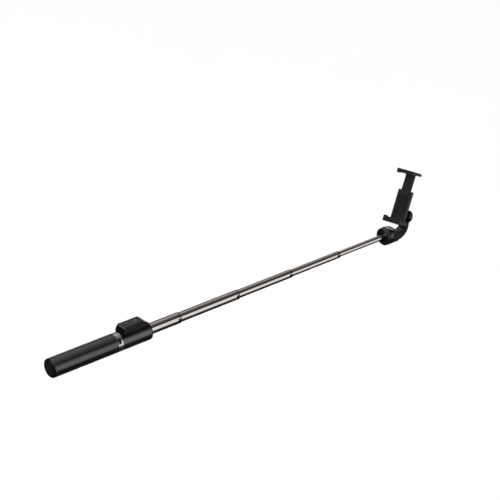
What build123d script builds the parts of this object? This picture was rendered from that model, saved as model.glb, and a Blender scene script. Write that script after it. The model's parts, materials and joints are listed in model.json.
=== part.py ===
"""Telescopic selfie stick with three tripod legs for a handle, a lift-out remote and a sprung phone clamp.

Millimetres. The stick lies along +X from the grip to the clamp, with the remote on top (+Z).
The origin is on the stick's axis, halfway along the hand grip.
"""

import os
from math import radians, sin

from build123d import *

# ---- driving dimensions -------------------------------------------------------------------------------
GRIP_MIDDLE = 56.0  # the origin, from the back end of the handle
GRIP_R = 15.5  # outside of the closed legs and of the hinge ring
LEG_SPAN = (-2.2, 112.9)  # back face and front end of a leg's shell
LEG_SEAM = 0.4  # gap between two closed legs
LEG_SHELL_R = 12.5  # inside of a leg's outer shell
LEG_BORE_R = 9.8  # the hollow that the stowed tubes lie in
LEG_ANGLES = (30.0, 150.0, 270.0)  # from +Y towards +Z
HINGE_AT = 116.2  # leg hinge pins, from the back end of the handle
HINGE_R = 13.6  # leg hinge pins, from the stick's axis
HINGE_PIN_R = 0.8
TONGUE_WIDTH = 7.2
TONGUE_R = 1.9  # round end of a leg's hinge tongue

RING_AT = (113.7, 119.7, 123.3)  # lugs start, slots end, band ends
COLLAR_END = 178.8
COLLAR_R = 15.4
CORE_R = 12.0  # bore of the collar, which the ring's spigot and the front guide fill

TUBE_OD = (18.0, 15.9, 13.85, 11.75, 9.5)
TUBE_WALL = 0.7
TUBE_ENDS = (237.6, 353.9, 464.3, 568.8)  # front faces of the first four tubes' end rings
TUBE_1_BACK = 105.0
FIT = 0.05  # radial running clearance
BUSH_FLANGE = 2.0
BUSH_SLEEVE = 6.2
REAR_BUSH = 6.0
OVERLAP = BUSH_FLANGE + BUSH_SLEEVE + REAR_BUSH + 0.4  # length that stays inside the next tube
RIVET_ANGLE = 171.0
RIVET_R = 2.2

CAP_AT = 668.4  # back face of the head's end cap
CAP_R = 15.2
CAP_THICKNESS = 4.4
TUBE_SEAT = CAP_AT + 10.6  # front end of the last tube and its plug, inside the head
KNUCKLE_AT = 691.3  # tilt axis
KNUCKLE_R = 8.8
EAR_INSIDE = 8.8
EAR_OUTSIDE = 12.0
EAR_R = 10.0
EAR_DROP = 1.5  # centre of the ears' round rims below the tilt axis
TILT = 28.4  # forward lean of the clamp
TURN = -7.6  # turn of the clamp about its pivot
PIVOT_UP = 34.0  # clamp pivot above the tilt axis, along the clamp
ARM_WIDTH = 17.0

PHONE_LOW = 24.9  # lower edge of the held phone above the tilt axis
JAW_GAP = 79.1
JAW_LENGTH = 38.8
LOWER_JAW_HEIGHT = 8.0
UPPER_JAW_HEIGHT = 5.4
PAD = 0.8
LIP_FRONT = -18.1  # front of the jaws' lips, along the clamp's depth
PHONE_BACK = -5.3
CLAMP_BACK = 2.1


# ---- shared shapes ------------------------------------------------------------------------------------
def at(distance):
    """X of a point on the stick, from its distance to the back end of the handle."""
    return distance - GRIP_MIDDLE


def rod(start, end, radius):
    """Round bar along the stick between two distances from the handle's end."""
    bar = Cylinder(radius, end - start, align=(Align.CENTER, Align.CENTER, Align.MIN))
    return Pos(at(start), 0, 0) * Rot(0, 90, 0) * bar


def pipe(start, end, outer, inner):
    return rod(start, end, outer) - rod(start - 1, end + 1, inner)


def block(x, y, z):
    """Box from (low, high) pairs."""
    size = (x[1] - x[0], y[1] - y[0], z[1] - z[0])
    corner = (Align.MIN, Align.MIN, Align.MIN)
    return Pos(x[0], y[0], z[0]) * Box(*size, align=corner)


def across(x, z, radius, low, high):
    """Round bar along Y."""
    bar = Cylinder(radius, high - low, align=(Align.CENTER, Align.CENTER, Align.MIN))
    return Pos(x, low, z) * Rot(-90, 0, 0) * bar


def upright(x, y, radius, low, high):
    """Round bar along Z."""
    bar = Cylinder(radius, high - low, align=(Align.CENTER, Align.CENTER, Align.MIN))
    return Pos(x, y, low) * bar


def through(y, z, radius, low, high):
    """Round bar along X, in the clamp's own frame."""
    bar = Cylinder(radius, high - low, align=(Align.CENTER, Align.CENTER, Align.MIN))
    return Pos(low, y, z) * Rot(0, 90, 0) * bar


def side_plate(points, half_width):
    """Outline in X and Z, thickened both ways along Y."""
    return extrude(Plane.XZ * Polygon(*points, align=None), amount=half_width, both=True)


def end_plate(points, start, length):
    """Outline in Y and Z, thickened along +X."""
    return extrude(Plane.YZ.offset(start) * Polygon(*points, align=None), amount=length)


def round_block(x, y, z, radius):
    """Box with its four upright edges rounded."""
    solid = block(x, y, z)
    return fillet(solid.edges().filter_by(Axis.Z), radius)


def ends_of(solid, axis, last):
    """Edges at the first or last end of a solid along an axis."""
    return solid.edges().group_by(axis)[-1 if last else 0]


nodes = {}


# ---- tripod legs that close into the handle -----------------------------------------------------------
def leg_sector():
    """Third of a circle about +Z, short of the seams on both sides."""
    apex = LEG_SEAM / 2 / sin(radians(60))
    reach = 40.0
    side = reach * sin(radians(60))
    points = [(0, apex), (side, apex + reach / 2), (0, 2 * reach), (-side, apex + reach / 2)]
    return end_plate(points, at(LEG_SPAN[0] - 5), LEG_SPAN[1] + 25)


def leg_parts():
    """One leg with its centre towards +Z: outer shell, inner frame with the hinge tongue, and foot pad."""
    back, end = LEG_SPAN
    wall, plate = back + 2.6, back + 5.0
    pad_r, pad_sunk = 11.0, 0.3
    tongue_root = 104.0
    x_pin = at(HINGE_AT)
    half = TONGUE_WIDTH / 2
    sector = leg_sector()

    body = rod(back, end, GRIP_R)
    body = fillet(ends_of(body, Axis.X, False), 3.5)
    notch = block((at(tongue_root), at(end + 2)), (-half, half), (0, 20))
    shell = body - rod(wall, end + 1, LEG_SHELL_R) - rod(back - 1, wall + 1, pad_r) - notch

    tongue = block((at(tongue_root), x_pin), (-half, half), (HINGE_R - TONGUE_R, 20))
    tongue += across(x_pin, HINGE_R, TONGUE_R, -half, half)
    tongue = tongue & rod(tongue_root - 1, HINGE_AT + 5, GRIP_R)
    frame = rod(wall, end, LEG_SHELL_R) - rod(plate, end + 1, LEG_BORE_R)
    frame = (frame & sector) + tongue
    frame -= across(x_pin, HINGE_R, HINGE_PIN_R + 0.04, -half - 1, half + 1)

    pad = rod(back + pad_sunk, wall, pad_r) & sector
    return {"shell": shell & sector, "frame": frame, "foot": pad}


for letter, angle in zip("abc", LEG_ANGLES):
    for name, solid in leg_parts().items():
        nodes[f"leg_{name}_{letter}"] = Rot(angle - 90, 0, 0) * solid


# ---- hinge ring, collar and front guide ---------------------------------------------------------------
def hinge_ring():
    start, slot_end, end = RING_AT
    slot = TONGUE_WIDTH / 2 + 0.2
    bore_r, spigot = TUBE_OD[0] / 2 + 0.15, 11.0
    band = rod(start, end, GRIP_R)
    band = chamfer(ends_of(band, Axis.X, True), 0.4)
    ring = band + rod(end, end + spigot, CORE_R) - rod(start - 1, end + spigot + 1, bore_r)
    for angle in LEG_ANGLES:
        cut = block((at(start - 1), at(slot_end)), (-slot, slot), (0, 20))
        hole = across(at(HINGE_AT), HINGE_R, HINGE_PIN_R, -5.4, 5.4)
        ring -= Rot(angle - 90, 0, 0) * (cut + hole)
    return ring


def leg_pins():
    pin = across(at(HINGE_AT), HINGE_R, HINGE_PIN_R, -5.4, 5.4)
    return Compound(children=[Rot(angle - 90, 0, 0) * pin for angle in LEG_ANGLES])


SADDLE_X = (124.6, 129.6, 165.0, 176.6)  # back, top starts, top ends, front
SADDLE_SHOULDERS = (13.5, 14.0)  # height where the back and front slopes start
SADDLE_HALF = 11.2
SADDLE_BULGE = (171.4, 20.4)  # a point on the rounded front slope
SADDLE_CORNER = 5.5  # in plan
POCKET_X = (130.8, 163.8)
POCKET_HALF = 8.4
POCKET_FLOOR = 14.2
SADDLE_TOP = 24.3
SCREW_SPOTS = (132.8, 161.4)  # housing screws, from the handle's end
MAGNET_AT = 148.3


def saddle():
    """Raised block on the collar that holds the remote: sloped ends, slightly drawn-in sides."""
    back, top_back, top_front, front = SADDLE_X
    low_back, low_front = SADDLE_SHOULDERS
    lines = Polyline((at(front), 4), (at(back), 4), (at(back), low_back), (at(top_back), SADDLE_TOP))
    lines += Line((at(top_back), SADDLE_TOP), (at(top_front), SADDLE_TOP))
    bulge_x, bulge_z = SADDLE_BULGE
    lines += ThreePointArc((at(top_front), SADDLE_TOP), (at(bulge_x), bulge_z), (at(front), low_front))
    lines += Line((at(front), low_front), (at(front), 4))
    outline = [(SADDLE_HALF, 4), (SADDLE_HALF, 15.0), (10.0, 23.2), (9.6, SADDLE_TOP)]
    outline += [(-y, z) for y, z in reversed(outline)]
    solid = extrude(make_face(Plane.XZ * lines), amount=SADDLE_HALF, both=True)
    solid &= end_plate(outline, at(120), 62)
    plan = block((at(back - 1.0), at(front)), (-SADDLE_HALF, SADDLE_HALF), (0, 30))
    return solid & fillet(plan.edges().filter_by(Axis.Z), SADDLE_CORNER)


def housing_screws():
    """Screws through the pocket's floor into the ring's spigot and the front guide."""
    screws = []
    for spot in SCREW_SPOTS:
        head = upright(at(spot), 0, 1.6, POCKET_FLOOR - 1.0, POCKET_FLOOR)
        screws.append(head + upright(at(spot), 0, 0.8, 10.0, POCKET_FLOOR - 1.0))
    return screws


def dock_magnet():
    return upright(at(MAGNET_AT), 0, 3.0, POCKET_FLOOR - 1.4, POCKET_FLOOR)


def collar_housing():
    body = rod(RING_AT[2], COLLAR_END, COLLAR_R)
    body = fillet(ends_of(body, Axis.X, True), 2.8)
    body = fillet(ends_of(body, Axis.X, False), 0.5)
    body += saddle()
    body -= rod(RING_AT[2] - 1, COLLAR_END + 1, CORE_R)
    low, high = POCKET_X
    body -= round_block((at(low), at(high)), (-POCKET_HALF, POCKET_HALF), (POCKET_FLOOR, 30), 2.2)
    body -= dock_magnet()
    for screw in housing_screws():
        body -= screw
    return body


def front_guide():
    guide = pipe(157.0, COLLAR_END + 0.3, CORE_R, TUBE_OD[0] / 2 + FIT)
    return guide - housing_screws()[1]


nodes["hinge_ring"] = hinge_ring() - housing_screws()[0]
nodes["leg_pins"] = leg_pins()
nodes["collar_housing"] = collar_housing()
nodes["front_guide"] = front_guide()
nodes["housing_screws"] = Compound(children=housing_screws())
nodes["dock_magnet"] = dock_magnet()


# ---- remote control -----------------------------------------------------------------------------------
REMOTE_GAP = 0.3
REMOTE_CORNER = 3.0
REMOTE_FLOOR = POCKET_FLOOR + 0.1
REMOTE_SPLIT = 20.0
REMOTE_TOP = 24.5
WALL = 1.2
SHUTTER = (155.0, 0.0, 4.6)  # along the stick, across it, radius
MODE = (141.6, -4.2, 2.0)
LIGHT = (141.6, 4.4, 0.8)
BOARD = (19.0, 19.8)


def remote_outline(low, high, inset, radius):
    x0, x1 = (at(POCKET_X[0] + REMOTE_GAP + inset), at(POCKET_X[1] - REMOTE_GAP - inset))
    half = POCKET_HALF - REMOTE_GAP - inset
    return round_block((x0, x1), (-half, half), (low, high), radius)


def remote_magnet():
    return upright(at(MAGNET_AT), 0, 3.0, REMOTE_FLOOR, REMOTE_FLOOR + WALL)


def remote_base():
    shell = remote_outline(REMOTE_FLOOR, REMOTE_SPLIT, 0, REMOTE_CORNER)
    shell -= remote_outline(REMOTE_FLOOR + WALL, REMOTE_SPLIT + 1, WALL, REMOTE_CORNER - WALL)
    return shell - remote_magnet()


BUTTON_LOW = 21.9


def button(spot, head_top, flange):
    """Round button: a cap through the cover with a wider flange below it."""
    x, y, radius = spot
    cap = upright(at(x), y, radius, BUTTON_LOW, head_top)
    cap = fillet(ends_of(cap, Axis.Z, True), 0.3)
    return cap + upright(at(x), y, radius + flange, BUTTON_LOW, BUTTON_LOW + 0.9)


def remote_cover():
    shell = remote_outline(REMOTE_SPLIT, REMOTE_TOP, 0, REMOTE_CORNER)
    shell = fillet(ends_of(shell, Axis.Z, True), 0.6)
    shell -= remote_outline(REMOTE_SPLIT - 1, REMOTE_TOP - WALL, WALL, REMOTE_CORNER - WALL)
    for x, y, radius in (SHUTTER, MODE):
        shell -= upright(at(x), y, radius + 0.15, REMOTE_SPLIT, REMOTE_TOP + 1)
    x, y, radius = LIGHT
    return shell - upright(at(x), y, radius, REMOTE_SPLIT, REMOTE_TOP + 1)


def remote_board():
    """Circuit board with a dome switch under each button."""
    board = remote_outline(BOARD[0], BOARD[1], WALL + 0.05, REMOTE_CORNER - WALL)
    for (x, y, _), radius in ((SHUTTER, 2.5), (MODE, 1.6)):
        board += upright(at(x), y, radius, BOARD[1], BOARD[1] + 0.8)
        board += upright(at(x), y, radius * 0.5, BOARD[1] + 0.8, BOARD[1] + 1.3)
    return board


BATTERY_X, BATTERY_HALF, BATTERY_TOP = (135.0, 159.0), 6.0, 18.6


def remote_battery():
    low, high = BATTERY_X
    heights = (REMOTE_FLOOR + WALL + 0.1, BATTERY_TOP)
    return round_block((at(low), at(high)), (-BATTERY_HALF, BATTERY_HALF), heights, 1.0)


nodes["remote_base"] = remote_base()
nodes["remote_cover"] = remote_cover()
nodes["remote_board"] = remote_board()
nodes["remote_battery"] = remote_battery()
nodes["remote_magnet"] = remote_magnet()
nodes["status_light"] = upright(at(LIGHT[0]), LIGHT[1], LIGHT[2], BOARD[1], REMOTE_TOP)
nodes["shutter_button"] = button(SHUTTER, REMOTE_TOP + 0.4, 0.9)
nodes["mode_button"] = button(MODE, REMOTE_TOP + 0.3, 0.6)


# ---- telescopic tubes ---------------------------------------------------------------------------------
def rivet(end, outer, inner):
    """Rivet head that lies flush in a tube's wall."""
    bar = Cylinder(RIVET_R, 12, align=(Align.CENTER, Align.CENTER, Align.MIN))
    bar = Pos(at(end - 4.4), 0, 0) * Rot(RIVET_ANGLE - 90, 0, 0) * Pos(0, 0, inner - 3) * bar
    return bar & pipe(end - 8, end, outer, inner)


def telescope():
    count = len(TUBE_OD)
    for index, diameter in enumerate(TUBE_OD):
        outer, inner = diameter / 2, diameter / 2 - TUBE_WALL
        last = index == count - 1
        back = TUBE_1_BACK if index == 0 else TUBE_ENDS[index - 1] - OVERLAP
        front = TUBE_SEAT if last else TUBE_ENDS[index] - BUSH_FLANGE
        number = index + 1
        tube = pipe(back, front, outer, inner)
        around = LEG_BORE_R - 0.4 if index == 0 else TUBE_OD[index - 1] / 2 - TUBE_WALL - FIT
        length = 7.9 if index == 0 else REAR_BUSH
        nodes[f"rear_bush_{number}"] = pipe(back, back + length, around, outer)
        if not last:
            end = TUBE_ENDS[index]
            hole = TUBE_OD[index + 1] / 2 + FIT
            bush = pipe(end - BUSH_FLANGE, end, outer, hole)
            bush += pipe(end - BUSH_FLANGE - BUSH_SLEEVE, end - BUSH_FLANGE, inner, hole)
            pin = rivet(end, outer, hole)
            tube -= pin
            nodes[f"front_bush_{number}"] = bush - pin
            nodes[f"bush_rivet_{number}"] = pin
        nodes[f"tube_{number}"] = tube


telescope()


# ---- head: end cap, fork and tilt hinge ---------------------------------------------------------------
HEAD_SCREW_SEAT = CAP_AT + 11.8
HEAD_SCREW_R = 1.5
BODY_R = 15.6  # round body of the fork, behind the ears
EAR_FOOT = KNUCKLE_AT - 9.4  # where the fork body ends and the ears begin
TILT_SCREW_R = 1.6
POCKET_R = 6.4  # round pockets in the ears for the tilt screw's ends
COVER_R = 6.2
COVER_DEPTH = (0.7, 0.6)  # how far a cover lies in its pocket and stands out of it
RECESS = 2.0  # depth of the ears' round pockets
NUT_THICKNESS = 1.2


def head_cap():
    cap = rod(CAP_AT, CAP_AT + CAP_THICKNESS, CAP_R)
    cap = fillet(ends_of(cap, Axis.X, False), 1.6)
    cap = chamfer(ends_of(cap, Axis.X, True), 0.4)
    cap -= rod(CAP_AT - 1, CAP_AT + 1.2, 7.6)
    return cap - rod(CAP_AT, CAP_AT + CAP_THICKNESS + 1, TUBE_OD[-1] / 2)


def fork():
    """Fork body: round behind, sloped on top towards the front, and two ears round the tilt axis."""
    groove = CAP_AT + CAP_THICKNESS
    back = groove + 0.6
    side = [(back, -BODY_R), (679.9, -BODY_R), (694.4, -10.9), (694.0, 8.0), (690.0, 9.2)]
    side += [(685.6, 11.4), (674.8, BODY_R), (back, BODY_R)]
    body = chamfer(rod(back, 720, BODY_R).edges().group_by(Axis.X)[0], 0.7)
    solid = side_plate([(at(x), z) for x, z in side], EAR_OUTSIDE + 4) & body
    front = block((at(EAR_FOOT), at(720)), (EAR_OUTSIDE, 20), (-20, 20))
    solid = solid - front - mirror(front, Plane.XZ)
    ears = across(at(KNUCKLE_AT), -EAR_DROP, EAR_R, -EAR_OUTSIDE, EAR_OUTSIDE)
    solid += chamfer(ears.edges().filter_by(GeomType.CIRCLE), 1.3)
    solid += rod(groove, back, CAP_R - 1.4)
    mouth = across(at(KNUCKLE_AT), 0, KNUCKLE_R + 0.6, -EAR_INSIDE, EAR_INSIDE)
    mouth += block((at(KNUCKLE_AT - 3.5), at(720)), (-EAR_INSIDE, EAR_INSIDE), (-20, 20))
    mouth += block((at(EAR_FOOT), at(720)), (-EAR_INSIDE, EAR_INSIDE), (-20, 0))
    solid -= mouth
    solid -= rod(CAP_AT, TUBE_SEAT, TUBE_OD[-1] / 2)
    solid -= rod(CAP_AT, 690, HEAD_SCREW_R) + rod(HEAD_SCREW_SEAT, 690, 2.9)
    for side_sign in (-1, 1):
        solid -= ear_recess(side_sign)
    return solid - tilt_screw()


def ear_recess(side_sign):
    """Round pocket in an ear's outside for the hinge screw's head or nut, and its cover."""
    low, high = sorted((side_sign * (EAR_OUTSIDE - RECESS), side_sign * (EAR_OUTSIDE + 1)))
    return across(at(KNUCKLE_AT), 0, POCKET_R, low, high)


def tilt_screw():
    low = -(EAR_OUTSIDE - RECESS)
    head = across(at(KNUCKLE_AT), 0, 3.0, low - NUT_THICKNESS, low)
    return head + across(at(KNUCKLE_AT), 0, TILT_SCREW_R, low, EAR_OUTSIDE - RECESS + NUT_THICKNESS)


def tilt_nut():
    low = EAR_OUTSIDE - RECESS
    hexagon = extrude(Plane.XZ * RegularPolygon(3.2, 6), amount=-NUT_THICKNESS)
    nut = Pos(at(KNUCKLE_AT), low, 0) * hexagon
    return nut - across(at(KNUCKLE_AT), 0, TILT_SCREW_R, low - 1, low + 3)


def hinge_covers():
    sunk, proud = COVER_DEPTH
    cover = across(at(KNUCKLE_AT), 0, COVER_R, EAR_OUTSIDE - sunk, EAR_OUTSIDE + proud)
    cover = chamfer(ends_of(cover, Axis.Y, True), 0.5)
    return Compound(children=[cover, mirror(cover, Plane.XZ)])


def tube_plug():
    plug = rod(CAP_AT - 14, TUBE_SEAT, TUBE_OD[-1] / 2 - TUBE_WALL)
    return plug - rod(CAP_AT - 4, TUBE_SEAT + 1, HEAD_SCREW_R)


def head_screw():
    shank = rod(CAP_AT - 3, HEAD_SCREW_SEAT, HEAD_SCREW_R)
    return shank + rod(HEAD_SCREW_SEAT, HEAD_SCREW_SEAT + 1.6, 2.7)


nodes["head_cap"] = head_cap()
nodes["head_fork"] = fork()
nodes["tube_plug"] = tube_plug()
nodes["head_screw"] = head_screw()
nodes["tilt_screw"] = Compound(children=[tilt_screw(), tilt_nut()])
nodes["hinge_covers"] = hinge_covers()


# ---- neck arm and clamp, upright in their own frame: X is the depth away from the user, Z runs up the p
ARM_BACK = 21.5
ARM_INSIDE = 12.6  # front of the arm beside the pivot
ARM_FRONT = CLAMP_BACK + 0.4  # front of the pivot's boss
ARM_ARC = (0.6, 13.9, 24.4)  # centre and radius of the arm's round back
ARM_EDGE = 2.4  # radius of the arm's back edges
ARM_LINE = (19.6, 20.4)  # fine groove down the arm's sides, radii about the same centre
PIVOT_R = 2.5
DISC_R = 11.5
BOSS_R = 8.2
PIVOT_COVER_R = 6.6
PIVOT_COVER = 0.8  # its thickness
RIVET_HEAD_R = 4.4


def arm_side():
    """Outline of the C-shaped arm from the tilt axis, out and round to the clamp's pivot."""
    centre_x, centre_z, outer_r = ARM_ARC
    low = (11.7, centre_z - (outer_r**2 - (11.7 - centre_x) ** 2) ** 0.5)
    bulge = (centre_x + outer_r, centre_z)
    high = (ARM_BACK, centre_z + (outer_r**2 - (ARM_BACK - centre_x) ** 2) ** 0.5)
    inner_top, inner_middle, inner_low = (ARM_INSIDE, 23.5), (17.3, 14.2), (12.0, 6.8)
    lines = Line((0, -KNUCKLE_R), low)
    lines += ThreePointArc(low, bulge, high)
    lines += Line(high, (ARM_BACK, PIVOT_UP))
    lines += Line((ARM_BACK, PIVOT_UP), (ARM_INSIDE, PIVOT_UP))
    lines += Line((ARM_INSIDE, PIVOT_UP), inner_top)
    lines += ThreePointArc(inner_top, inner_middle, inner_low)
    lines += Line(inner_low, (2.6, 8.4))
    lines += Line((2.6, 8.4), (0, -KNUCKLE_R))
    return make_face(Plane.XZ * lines)


def arm_line():
    """Fine curved grooves down both sides of the arm."""
    centre_x, centre_z, _ = ARM_ARC
    depth, (low, high) = 0.4, ARM_LINE
    ring = across(centre_x, centre_z, high, -20, 20) - across(centre_x, centre_z, low, -20, 20)
    ring &= block((10.0, 40), (-20, 20), (-2.5, 24.0))
    return ring - block((0, 40), (depth - ARM_WIDTH / 2, ARM_WIDTH / 2 - depth), (-20, 40))


def neck_arm():
    arm = extrude(arm_side(), amount=ARM_WIDTH / 2, both=True)
    arm = fillet(outer_edges(arm), ARM_EDGE)
    arm -= arm_line()
    arm += across(0, 0, KNUCKLE_R, -EAR_INSIDE + 0.3, EAR_INSIDE - 0.3)
    disc = through(0, PIVOT_UP, DISC_R, ARM_INSIDE, ARM_BACK)
    arm += fillet(ends_of(disc, Axis.X, True), 1.6)
    arm += through(0, PIVOT_UP, BOSS_R, ARM_FRONT, ARM_INSIDE + 1)
    arm -= across(0, 0, TILT_SCREW_R + 0.04, -20, 20)
    arm -= through(0, PIVOT_UP, PIVOT_R + FIT, 0, 30)
    arm -= through(0, PIVOT_UP, 5.0, ARM_BACK - 2.6, 30)
    return arm - through(0, PIVOT_UP, PIVOT_COVER_R, ARM_BACK - PIVOT_COVER, 30)


def outer_edges(arm):
    """Long edges down both sides of the arm's back."""
    sides = [e for e in arm.edges() if abs(abs(e.center().Y) - ARM_WIDTH / 2) < 0.01]
    return [e for e in sides if e.center().X > 5 and outside_of_arm(e)]


def outside_of_arm(edge):
    middle = edge @ 0.5
    centre_x, centre_z, outer_r = ARM_ARC
    on_arc = (middle.X - centre_x) ** 2 + (middle.Z - centre_z) ** 2 > (outer_r - 1) ** 2
    return on_arc or middle.X > ARM_BACK - 0.1 or middle.Z < 1 - KNUCKLE_R


def friction_washers():
    """Washers either side of the knuckle and one behind the clamp."""
    gap = 0.1
    washers = []
    for side_sign in (-1, 1):
        low, high = sorted((side_sign * (EAR_INSIDE - 0.3), side_sign * (EAR_INSIDE - gap)))
        ring = across(0, 0, 7.0, low, high) - across(0, 0, 1.7, -20, 20)
        washers.append(ring)
    ring = through(0, PIVOT_UP, BOSS_R - 0.5, CLAMP_BACK + gap, ARM_FRONT)
    washers.append(ring - through(0, PIVOT_UP, PIVOT_R + 0.1, 0, 30))
    return Compound(children=washers)


def pivot_cover():
    return through(0, PIVOT_UP, PIVOT_COVER_R, ARM_BACK - PIVOT_COVER, ARM_BACK)


HOUSING_TOP = 76.0
HOUSING_HALF = 15.0
COVER_FRONT = PHONE_BACK + 0.8
CAVITY_FRONT = -3.5
SLIDER_HALF = 10.0
SLIDER_BACK = -0.9
SLIDER_LOW = 53.0
JAW_LOW = PHONE_LOW + JAW_GAP  # the upper jaw's gripping face
SPRING_Y = 12.3
SPRING_Z = (37.0, 66.0)
COIL_R, WIRE_R = 0.85, 0.25


def clamp_housing():
    low = PHONE_LOW - PAD
    shell = block((CAVITY_FRONT, CLAMP_BACK), (-HOUSING_HALF, HOUSING_HALF), (low, HOUSING_TOP))
    uprights = shell.edges().filter_by(Axis.Z).group_by(Axis.X)[-1]
    shell = fillet(uprights, 2.0)
    shell = chamfer(ends_of(shell, Axis.Z, True).group_by(Axis.X)[-1], 1.0)
    half = SLIDER_HALF + 0.3
    shell -= block((CAVITY_FRONT - 1, SLIDER_BACK + 0.3), (-half, half), (low + 2.4, HOUSING_TOP + 1))
    for side_sign in (-1, 1):
        shell -= spring_channel(side_sign)
    shell -= through(0, PIVOT_UP, PIVOT_R, CAVITY_FRONT - 1, 30)
    for screw in clamp_screws():
        shell -= screw
    return shell


def clamp_screws():
    screws = []
    for y in (-12.6, 12.6):
        for z in (32.0, 71.0):
            head = through(y, z, 1.5, CLAMP_BACK - 0.9, CLAMP_BACK - 0.1)
            screws.append(head + through(y, z, 0.7, COVER_FRONT + 0.4, CLAMP_BACK - 0.9))
    return screws


def clamp_cover():
    low = PHONE_LOW - PAD
    plate = block((COVER_FRONT, CAVITY_FRONT), (-HOUSING_HALF, HOUSING_HALF), (low, HOUSING_TOP))
    for screw in clamp_screws():
        plate -= screw
    return plate


def back_pad():
    pad = block((PHONE_BACK + 0.1, COVER_FRONT), (-10, 10), (34, 68))
    return fillet(pad.edges().filter_by(Axis.X), 3.0)


def pivot_rivet():
    front, seat = CAVITY_FRONT + 0.2, ARM_BACK - 1.2
    shank = through(0, PIVOT_UP, PIVOT_R, front, seat)
    front_head = through(0, PIVOT_UP, RIVET_HEAD_R, front, SLIDER_BACK + 0.3)
    return shank + front_head + through(0, PIVOT_UP, RIVET_HEAD_R, seat - 1.2, seat)


LIP_DEPTH = 2.6
JAW_BED = 0.4  # the pad stands this far out of its jaw


def jaw(height):
    """Jaw with its gripping face up at zero: a bar, raised lips in front and a recess for the pad."""
    half, lip_half = JAW_LENGTH / 2, 8.0
    lip_rise, low_rise = 2.2, 1.0
    lip = (LIP_FRONT, LIP_FRONT + LIP_DEPTH)
    bar = block((LIP_FRONT, CLAMP_BACK), (-half, half), (-height, -JAW_BED))
    bar += block(lip, (-half, half), (-height, low_rise))
    for side_sign in (-1, 1):
        low, high = sorted((side_sign * (half - lip_half), side_sign * half))
        bar += block(lip, (low, high), (-height, lip_rise))
    corners = [e for e in bar.edges().filter_by(Axis.X) if abs(abs(e.center().Y) - half) < 0.01]
    bar = fillet(corners, 1.2)
    bar = chamfer(bar.faces().sort_by(Axis.X)[0].edges(), 0.5)
    hollow, rim = half - lip_half, 1.6
    bar -= block((LIP_FRONT - 1, LIP_FRONT + 1.0), (-hollow, hollow), (rim - height, 5))
    recess = half - 3.0
    return bar - block((LIP_FRONT + LIP_DEPTH + 1, PHONE_BACK), (-recess, recess), (-PAD - JAW_BED, 5))


def jaw_pad():
    recess, front = JAW_LENGTH / 2 - 3.0, LIP_FRONT + LIP_DEPTH + 1
    rib_pitch, rib_gap, rib_height = 4.4, 1.0, 0.4
    pad = block((front, PHONE_BACK), (-recess, recess), (-PAD - JAW_BED, 0))
    for step in range(-3, 4):
        gap = (step * rib_pitch - rib_gap / 2, step * rib_pitch + rib_gap / 2)
        pad -= block((front - 1, PHONE_BACK + 1), gap, (-rib_height, 1))
    return pad


def lower_at(solid):
    return Pos(0, 0, PHONE_LOW) * solid


def upper_at(solid):
    """The same shape turned over, gripping face down."""
    return Pos(0, 0, JAW_LOW) * mirror(solid, Plane.XY)


def lower_jaw():
    bar = lower_at(jaw(LOWER_JAW_HEIGHT))
    return bar - block((COVER_FRONT, 20), (-HOUSING_HALF, HOUSING_HALF), (PHONE_LOW - PAD, 40))


def upper_jaw():
    bar = upper_at(jaw(UPPER_JAW_HEIGHT))
    across = (-SLIDER_HALF, SLIDER_HALF)
    slider = block((CAVITY_FRONT + 0.2, SLIDER_BACK), across, (SLIDER_LOW, JAW_LOW + 2))
    slot = block((CAVITY_FRONT, SLIDER_BACK + 1), (-2.0, 2.0), (SLIDER_LOW + 6, HOUSING_TOP))
    return bar + (slider - slot)


def spring_channel(side_sign):
    """Room for a spring beside the slider, open to the slider's own cavity."""
    width = sorted((side_sign * (SLIDER_HALF - 0.5), side_sign * (SPRING_Y + COIL_R + 0.65)))
    return block((CAVITY_FRONT - 1, SLIDER_BACK + 0.3), width, (SPRING_Z[0] - 0.5, SPRING_Z[1] + 0.5))


def clamp_springs():
    """Two closing springs, one on each side of the slider."""
    low, high = SPRING_Z
    coil = Helix(pitch=1.6, height=high - low - 2 * WIRE_R, radius=COIL_R)
    wire = sweep(Plane(coil @ 0, z_dir=coil % 0) * Circle(WIRE_R), path=coil)
    depth = (CAVITY_FRONT + SLIDER_BACK) / 2 + 0.1
    return Compound(children=[Pos(depth, y, low + WIRE_R) * wire for y in (-SPRING_Y, SPRING_Y)])


def place(solid, turned):
    """From the clamp's own frame onto the stick, leaning forward by the tilt."""
    if turned:
        solid = Pos(0, 0, PIVOT_UP) * Rot(TURN, 0, 0) * Pos(0, 0, -PIVOT_UP) * solid
    return Pos(at(KNUCKLE_AT), 0, 0) * Rot(0, TILT, 0) * solid


nodes["neck_arm"] = place(neck_arm(), False)
nodes["friction_washers"] = place(friction_washers(), False)
nodes["pivot_cover"] = place(pivot_cover(), False)
nodes["pivot_rivet"] = place(pivot_rivet(), True)
nodes["clamp_housing"] = place(clamp_housing(), True)
nodes["clamp_cover"] = place(clamp_cover(), True)
nodes["clamp_screws"] = place(Compound(children=clamp_screws()), True)
nodes["back_pad"] = place(back_pad(), True)
nodes["lower_jaw"] = place(lower_jaw(), True)
nodes["lower_pad"] = place(lower_at(jaw_pad()), True)
nodes["upper_jaw"] = place(upper_jaw(), True)
nodes["upper_pad"] = place(upper_at(jaw_pad()), True)
nodes["clamp_springs"] = place(clamp_springs(), True)


# ---- one STEP file per node ---------------------------------------------------------------------------
os.makedirs("parts", exist_ok=True)
for name, solid in nodes.items():
    export_step(solid, f"parts/{name}.step")
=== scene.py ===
"""Looks of the telescopic selfie stick: materials, lights and camera round its CAD frame. Metres."""

import json

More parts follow.
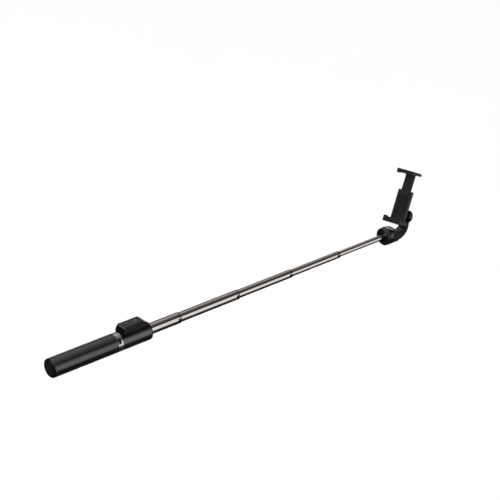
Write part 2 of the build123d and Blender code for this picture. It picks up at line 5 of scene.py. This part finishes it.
import bpy
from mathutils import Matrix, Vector


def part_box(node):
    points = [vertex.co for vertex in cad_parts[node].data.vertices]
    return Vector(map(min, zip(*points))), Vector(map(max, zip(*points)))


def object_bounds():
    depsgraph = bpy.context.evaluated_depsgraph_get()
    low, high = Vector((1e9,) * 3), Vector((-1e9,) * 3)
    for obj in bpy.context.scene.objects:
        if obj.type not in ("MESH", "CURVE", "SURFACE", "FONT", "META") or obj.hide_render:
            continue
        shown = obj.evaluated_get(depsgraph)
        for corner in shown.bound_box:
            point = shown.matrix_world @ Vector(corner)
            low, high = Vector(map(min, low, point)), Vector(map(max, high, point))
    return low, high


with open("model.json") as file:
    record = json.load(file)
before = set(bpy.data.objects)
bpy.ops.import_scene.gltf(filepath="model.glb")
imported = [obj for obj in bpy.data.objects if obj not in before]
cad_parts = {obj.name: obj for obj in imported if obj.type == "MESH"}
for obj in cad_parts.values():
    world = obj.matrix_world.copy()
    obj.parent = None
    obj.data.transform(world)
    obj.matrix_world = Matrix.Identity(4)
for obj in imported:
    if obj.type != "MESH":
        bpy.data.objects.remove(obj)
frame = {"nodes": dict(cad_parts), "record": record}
nodes = frame["nodes"]
cad_low, cad_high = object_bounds()
middle = (cad_low + cad_high) / 2
MM = 0.001


# ---- node helpers -------------------------------------------------------------------------------------
class Surface:
    """A Principled material and the few node patterns that the stick's materials are made of."""

    def __init__(self, name, colour, roughness, metallic=0.0, **sockets):
        self.material = bpy.data.materials.new(name)
        self.material.use_nodes = True
        self.tree = self.material.node_tree
        self.shader = self.tree.nodes["Principled BSDF"]
        self.shader.inputs["Base Color"].default_value = (*colour, 1)
        self.shader.inputs["Roughness"].default_value = roughness
        self.shader.inputs["Metallic"].default_value = metallic
        for socket, value in sockets.items():
            self.shader.inputs[socket.replace("_", " ")].default_value = value
        self.place = self.add("ShaderNodeTexCoord").outputs["Object"]

    def add(self, kind, **inputs):
        """New node with its inputs fed by name."""
        node = self.tree.nodes.new(kind)
        for key, value in inputs.items():
            self.feed(node.inputs[key.replace("_", " ")], value)
        return node

    def feed(self, socket, value):
        """Links another node's output to the socket, or sets the socket's value."""
        if isinstance(value, bpy.types.NodeSocket):
            self.tree.links.new(value, socket)
        else:
            socket.default_value = value

    def maths(self, operation, *values):
        node = self.add("ShaderNodeMath")
        node.operation = operation
        for socket, value in zip(node.inputs, values):
            self.feed(socket, value)
        return node.outputs["Value"]

    def along(self, axis):
        """Place along the X, Y or Z axis."""
        return self.add("ShaderNodeSeparateXYZ", Vector=self.place).outputs[axis]

    def drawn_out(self, share):
        """Object coordinates with X scaled to a share, which draws a pattern out along the stick."""
        node = self.add("ShaderNodeMapping", Vector=self.place)
        node.inputs["Scale"].default_value = (share, 1, 1)
        return node.outputs["Vector"]

    def noise(self, size, detail=3.0, place=None):
        """Noise whose grains are about size metres wide."""
        node = self.add("ShaderNodeTexNoise", Scale=1 / size, Detail=detail, Roughness=0.6)
        self.feed(node.inputs["Vector"], place or self.place)
        return node.outputs["Fac"]

    def ramp(self, value, span, results=(0.0, 1.0)):
        """Value mapped from the span's two ends to the two results, and held there beyond."""
        node = self.add("ShaderNodeMapRange", Value=value, From_Min=span[0], From_Max=span[1])
        node.inputs["To Min"].default_value, node.inputs["To Max"].default_value = results
        return node.outputs["Result"]

    def blend(self, factor, colour_a, colour_b):
        node = self.add("ShaderNodeMix")
        node.data_type = "RGBA"
        self.feed(node.inputs["Factor"], factor)
        colours = [socket for socket in node.inputs if socket.type == "RGBA"]
        for socket, colour in zip(colours, (colour_a, colour_b)):
            self.feed(socket, colour if isinstance(colour, bpy.types.NodeSocket) else (*colour, 1))
        return [socket for socket in node.outputs if socket.type == "RGBA"][0]

    def mottle(self, pattern, colour, shares):
        """Colour whose brightness follows a pattern between two shares of it."""
        dark, light = [tuple(channel * share for channel in colour) for share in shares]
        return self.blend(pattern, dark, light)

    def colour(self, socket):
        self.tree.links.new(socket, self.shader.inputs["Base Color"])

    def roughness(self, socket):
        self.tree.links.new(socket, self.shader.inputs["Roughness"])

    def relief(self, grain_size, depth):
        """Fine bumps. The grains' size and the depth are in metres."""
        height = self.noise(grain_size, detail=2.0)
        bump = self.add("ShaderNodeBump", Height=height, Distance=depth, Strength=1.0)
        self.tree.links.new(bump.outputs["Normal"], self.shader.inputs["Normal"])


def either_side(value, spread):
    return value - spread, value + spread


# ---- materials ----------------------------------------------------------------------------------------
NOISE_SPAN = (0.3, 0.7)  # most of a noise lies between these values
FALLING = (1.0, 0.0)  # results of a ramp that falls along its span

FLOW_SIZE, FLOW_SHARES, FLOW_SHEEN = 14 * MM, (0.8, 1.25), 0.04
RUB_SIZE, RUB_DRAWN_OUT = 1.2 * MM, 0.12
RUB_SPAN, RUB_SHEEN = (0.55, 0.75), 0.07  # only the noise's higher values leave a mark
PLASTIC_GRAIN, PLASTIC_GRAIN_DEPTH = 0.35 * MM, 0.012 * MM
DULL_SHARE = 0.12  # of the gloss that is left on finely textured areas


def moulded_plastic(name, colour, roughness, gloss=0.8, dull=None, overlay=None):
    """Moulded plastic: spark-eroded grain, faint flow marks, a slightly uneven sheen and fine rub marks.

    dull is a function that gives the mask of a finely textured area, where the gloss drops.
    overlay is a function that gives the mask and colour of a print, or of a painted highlight, laid on
    the surface.
    """
    surface = Surface(name, colour, roughness)
    flow = surface.noise(FLOW_SIZE)
    rubbed = surface.noise(RUB_SIZE, detail=5.0, place=surface.drawn_out(RUB_DRAWN_OUT))
    ground = surface.mottle(flow, colour, FLOW_SHARES)
    if overlay is not None:
        mask, overlay_colour = overlay(surface)
        ground = surface.blend(mask, ground, overlay_colour)
    surface.colour(ground)
    sheen = surface.ramp(flow, NOISE_SPAN, either_side(roughness, FLOW_SHEEN))
    marks = surface.ramp(rubbed, RUB_SPAN, (0.0, RUB_SHEEN))
    surface.roughness(surface.maths("ADD", sheen, marks))
    if dull is None:
        surface.shader.inputs["Specular IOR Level"].default_value = gloss
    else:
        level = surface.ramp(dull(surface), (0.0, 1.0), (gloss, gloss * DULL_SHARE))
        surface.feed(surface.shader.inputs["Specular IOR Level"], level)
    surface.relief(PLASTIC_GRAIN, PLASTIC_GRAIN_DEPTH)
    return surface.material


BLOCK_START = 10.2 * MM  # height where the collar turns into the raised block
RIM_LENGTH = 3.4 * MM
TEXTURE_FADE = 1.0 * MM


def textured_block(surface):
    """The raised block on the collar, above the round part."""
    return surface.ramp(surface.along("Z"), (BLOCK_START, BLOCK_START + TEXTURE_FADE))


def textured_rim(surface):
    """The rounded rim at the handle's end."""
    rim = cad_low.x + RIM_LENGTH
    return surface.ramp(surface.along("X"), (rim - TEXTURE_FADE, rim), FALLING)


RING_RADIUS, RING_HALF_WIDTH = 2.4 * MM, 0.3 * MM
PRINT_GREY = (0.1, 0.101, 0.105)


def printed_ring(surface):
    """Plain ring printed round the middle of the larger button."""
    low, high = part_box("shutter_button")
    measure = surface.add("ShaderNodeVectorMath")
    measure.operation = "DISTANCE"
    surface.feed(measure.inputs[0], surface.place)
    measure.inputs[1].default_value = ((low.x + high.x) / 2, (low.y + high.y) / 2, high.z)
    radius = measure.outputs["Value"]
    return surface.maths("COMPARE", radius, RING_RADIUS, RING_HALF_WIDTH), PRINT_GREY


# place, width and grey of the painted highlight along the block's back upper edge
EDGE_TO_REMOTE, HIGHLIGHT_WIDTH = 1.5 * MM, 1.1 * MM
HIGHLIGHT_GREY = (0.062, 0.064, 0.069)


def painted_edge_highlight(surface):
    """Painted highlight: a lighter strip painted along the block's back upper edge, standing in for the
    light that the edge catches.
    """
    edge_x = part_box("remote_cover")[0].x - EDGE_TO_REMOTE
    edge_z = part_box("collar_housing")[1].z
    off_edge = surface.maths("ABSOLUTE", surface.maths("SUBTRACT", surface.along("X"), edge_x))
    at_edge = surface.ramp(off_edge, (HIGHLIGHT_WIDTH / 2, HIGHLIGHT_WIDTH), FALLING)
    at_top = surface.ramp(surface.along("Z"), (edge_z - 2 * HIGHLIGHT_WIDTH, edge_z - HIGHLIGHT_WIDTH))
    return surface.maths("MULTIPLY", at_edge, at_top), HIGHLIGHT_GREY


RUBBER_ROUGHNESS, RUBBER_SHEEN, RUBBER_GLOSS = 0.75, 0.09, 0.25
DUST_SIZE, DUST_SHARES = 6 * MM, (0.75, 1.5)
RUBBER_GRAIN, RUBBER_GRAIN_DEPTH = 0.25 * MM, 0.03 * MM


def soft_rubber(name, colour):
    """Matt rubber with a fine grain and dusty patches."""
    surface = Surface(name, colour, RUBBER_ROUGHNESS, Specular_IOR_Level=RUBBER_GLOSS)
    patches = surface.noise(DUST_SIZE, detail=4.0)
    surface.colour(surface.mottle(patches, colour, DUST_SHARES))
    surface.roughness(surface.ramp(patches, NOISE_SPAN, either_side(RUBBER_ROUGHNESS, RUBBER_SHEEN)))
    surface.relief(RUBBER_GRAIN, RUBBER_GRAIN_DEPTH)
    return surface.material


LINE_SIZE, LINE_DRAWN_OUT, LINE_SHEEN = 0.5 * MM, 0.004, 0.03
CLOUD_SIZE, CLOUD_DRAWN_OUT, CLOUD_SHARES = 30 * MM, 0.4, (0.96, 1.04)
EDGE_TINT = (0.16, 0.15, 0.145)  # the tubes darken towards their outlines


def drawn_tube(name, colour, roughness):
    """Polished tube with fine lines along its length, where it slides in the next one."""
    surface = Surface(name, colour, roughness, metallic=1.0, Specular_Tint=(*EDGE_TINT, 1))
    lines = surface.noise(LINE_SIZE, detail=2.0, place=surface.drawn_out(LINE_DRAWN_OUT))
    cloud = surface.noise(CLOUD_SIZE, place=surface.drawn_out(CLOUD_DRAWN_OUT))
    surface.colour(surface.mottle(cloud, colour, CLOUD_SHARES))
    surface.roughness(surface.ramp(lines, NOISE_SPAN, either_side(roughness, LINE_SHEEN)))
    return surface.material


SCUFF_SIZE, SCUFF_SPAN, SCUFF_SHARES = 2.5 * MM, (0.35, 0.7), (0.9, 1.05)
SCUFF_POLISH, SCUFF_DULLING = 0.04, 0.09  # how far the roughness goes below and above the metal's own
METAL_GRAIN, METAL_GRAIN_DEPTH = 0.1 * MM, 0.001 * MM


def turned_metal(name, colour, roughness):
    """Polished or plated metal with faint random wear."""
    surface = Surface(name, colour, roughness, metallic=1.0)
    scuffs = surface.noise(SCUFF_SIZE, detail=4.0)
    surface.colour(surface.mottle(scuffs, colour, SCUFF_SHARES))
    sheen = (roughness - SCUFF_POLISH, roughness + SCUFF_DULLING)
    surface.roughness(surface.ramp(scuffs, SCUFF_SPAN, sheen))
    surface.relief(METAL_GRAIN, METAL_GRAIN_DEPTH)
    return surface.material


BLACK = (0.0032, 0.0032, 0.0038)
DEEP_BLACK = (0.0025, 0.0025, 0.0028)
BUSH_BLACK = (0.008, 0.0078, 0.0075)
REMOTE_BLACK = (0.0042, 0.0042, 0.005)
BUTTON_BLACK = (0.008, 0.008, 0.009)
WARM_STEEL = (0.43, 0.395, 0.38)
WARM_PLATING = (0.42, 0.39, 0.37)
PIN_STEEL = (0.5, 0.5, 0.51)
NICKEL = (0.6, 0.6, 0.62)
FOIL = (0.7, 0.7, 0.7)
BOARD_GREEN = (0.02, 0.11, 0.05)
LENS_GREY = (0.35, 0.36, 0.38)

RECIPES = {
    "handle_plastic": (moulded_plastic, dict(colour=BLACK, roughness=0.28, gloss=0.8, dull=textured_rim)),
    "foot_rubber": (soft_rubber, dict(colour=DEEP_BLACK)),
    "hinge_metal": (turned_metal, dict(colour=WARM_PLATING, roughness=0.2)),
    "pin_steel": (turned_metal, dict(colour=PIN_STEEL, roughness=0.3)),
    "collar_plastic": (
        moulded_plastic,
        # the collar's overlay is the painted highlight along the block's back upper edge
        dict(colour=BLACK, roughness=0.26, gloss=0.9, dull=textured_block, overlay=painted_edge_highlight),
    ),
    "bush_plastic": (moulded_plastic, dict(colour=BUSH_BLACK, roughness=0.5, gloss=0.2)),
    "magnet_metal": (turned_metal, dict(colour=NICKEL, roughness=0.2)),
    "tube_metal": (drawn_tube, dict(colour=WARM_STEEL, roughness=0.17)),
    "rivet_plastic": (moulded_plastic, dict(colour=DEEP_BLACK, roughness=0.6, gloss=0.1)),
    "head_plastic": (moulded_plastic, dict(colour=BLACK, roughness=0.3, gloss=0.5)),
    "clamp_plastic": (moulded_plastic, dict(colour=BLACK, roughness=0.3, gloss=0.5)),
    "pad_rubber": (soft_rubber, dict(colour=DEEP_BLACK)),
    "remote_plastic": (moulded_plastic, dict(colour=REMOTE_BLACK, roughness=0.34, gloss=0.55)),
    "button_plastic": (
        moulded_plastic,
        dict(colour=BUTTON_BLACK, roughness=0.3, gloss=0.6, overlay=printed_ring),
    ),
    "board_laminate": (moulded_plastic, dict(colour=BOARD_GREEN, roughness=0.35)),
    "battery_foil": (turned_metal, dict(colour=FOIL, roughness=0.3)),
    "light_pipe": (moulded_plastic, dict(colour=LENS_GREY, roughness=0.3)),
}


def paint(piece, material):
    """Links the material to the piece's object in each of its slots."""
    if not piece.material_slots:
        piece.data.materials.append(None)
    for slot in piece.material_slots:
        slot.link = "OBJECT"
        slot.material = material


looks = {slot: make(slot, **settings) for slot, (make, settings) in RECIPES.items()}
for part in frame["record"]["subparts"]:
    paint(nodes[part["node"]], looks[part["material_slot"]])


# ---- studio -------------------------------------------------------------------------------------------
FLOOR_DROP = 0.30  # the stick is held above the floor, as in a product picture
FLOOR_SIZE = 160.0  # so large that low views don't show its edge
FLOOR_GREY, FLOOR_ROUGHNESS = (0.9, 0.9, 0.9), 0.9
FLOOR_DARK, FLOOR_LIGHT = (0.89, 0.89, 0.89), (0.91, 0.91, 0.91)
FLOOR_PATCHES = 0.4


def studio_floor():
    place = (middle.x, middle.y, cad_low.z - FLOOR_DROP)
    bpy.ops.mesh.primitive_plane_add(size=FLOOR_SIZE, location=place)
    floor = bpy.context.object
    floor.name = "floor"
    surface = Surface("floor_paint", FLOOR_GREY, FLOOR_ROUGHNESS)
    surface.colour(surface.blend(surface.noise(FLOOR_PATCHES), FLOOR_DARK, FLOOR_LIGHT))
    floor.data.materials.append(surface.material)
    floor.visible_glossy = False  # the stick's underside reflects the dim room, as over dark cards


ROOM_GLOW = 0.05
# bright parts of the room: direction, cosines of the angles off it where the glow starts and where it is
# full, and strength
CEILING = ((-0.40, 0.0, 0.92), 0.52, 0.9, 2.05)
BACK_WALL = ((0.56, 0.50, 0.66), 0.91, 0.98, 0.74)
FRONT_WALL = ((0.56, -0.828, 0.03), 0.86, 0.96, 1.65)
REAR_WALL = ((0.56, 0.78, -0.28), 0.89, 0.97, 1.5)


def wall_glow(tree, direction, wall):
    """Strength of one bright part of the room in the direction that is looked in."""
    towards, start, full, strength = wall
    facing = tree.nodes.new("ShaderNodeVectorMath")
    facing.operation = "DOT_PRODUCT"
    facing.inputs[1].default_value = towards
    fade = tree.nodes.new("ShaderNodeMapRange")
    fade.interpolation_type = "SMOOTHSTEP"
    for name, number in (("From Min", start), ("From Max", full), ("To Max", strength)):
        fade.inputs[name].default_value = number
    tree.links.new(direction, facing.inputs[0])
    tree.links.new(facing.outputs["Value"], fade.inputs["Value"])
    return fade.outputs["Result"]


def studio_room():
    """A dim room with a bright ceiling, and three bright walls that the tubes reflect as lines."""
    world = bpy.data.worlds.new("studio")
    world.use_nodes = True
    tree = world.node_tree
    direction = tree.nodes.new("ShaderNodeTexCoord").outputs["Generated"]
    total = None
    for wall in (CEILING, BACK_WALL, FRONT_WALL, REAR_WALL):
        plus = tree.nodes.new("ShaderNodeMath")
        tree.links.new(wall_glow(tree, direction, wall), plus.inputs[0])
        if total is None:
            plus.inputs[1].default_value = ROOM_GLOW
        else:
            tree.links.new(total, plus.inputs[1])
        total = plus.outputs["Value"]
    tree.links.new(total, tree.nodes["Background"].inputs["Strength"])
    tree.nodes["Background"].inputs["Color"].default_value = (1, 1, 1, 1)
    bpy.context.scene.world = world


KEY_OFFSET = Vector((-2.2, 0.6, 2.2))  # from the stick's middle
KEY_SIZE = 1.2
KEY_WATTS = 20


def soft_key():
    """Square soft light, high up beyond the handle's end and aimed at the stick's middle."""
    light = bpy.data.lights.new("soft_key", "AREA")
    light.shape = "RECTANGLE"
    light.size = light.size_y = KEY_SIZE
    light.energy = KEY_WATTS
    lamp = bpy.data.objects.new("soft_key", light)
    bpy.context.scene.collection.objects.link(lamp)
    lamp.location = middle + KEY_OFFSET
    lamp.rotation_euler = (-KEY_OFFSET).to_track_quat("-Z", "Y").to_euler()


# the photo's viewpoint, worked out with the tubes' diameters
CAMERA_AT = (-1.236, -1.915, 1.369)
CAMERA_LOOK = Vector((0.55920, 0.68624, -0.46516))
CAMERA_LENS, SENSOR_WIDTH = 127.44, 36  # in millimetres, as Blender takes them
CLIP_START, CLIP_END = 0.05, 200


def camera():
    data = bpy.data.cameras.new("camera")
    data.sensor_width = SENSOR_WIDTH
    data.lens = CAMERA_LENS
    data.clip_start, data.clip_end = CLIP_START, CLIP_END
    eye = bpy.data.objects.new("camera", data)
    bpy.context.scene.collection.objects.link(eye)
    eye.location = CAMERA_AT
    eye.rotation_euler = CAMERA_LOOK.to_track_quat("-Z", "Y").to_euler()
    bpy.context.scene.camera = eye


studio_floor()
studio_room()
soft_key()
camera()
bpy.context.scene.view_settings.view_transform = "Standard"
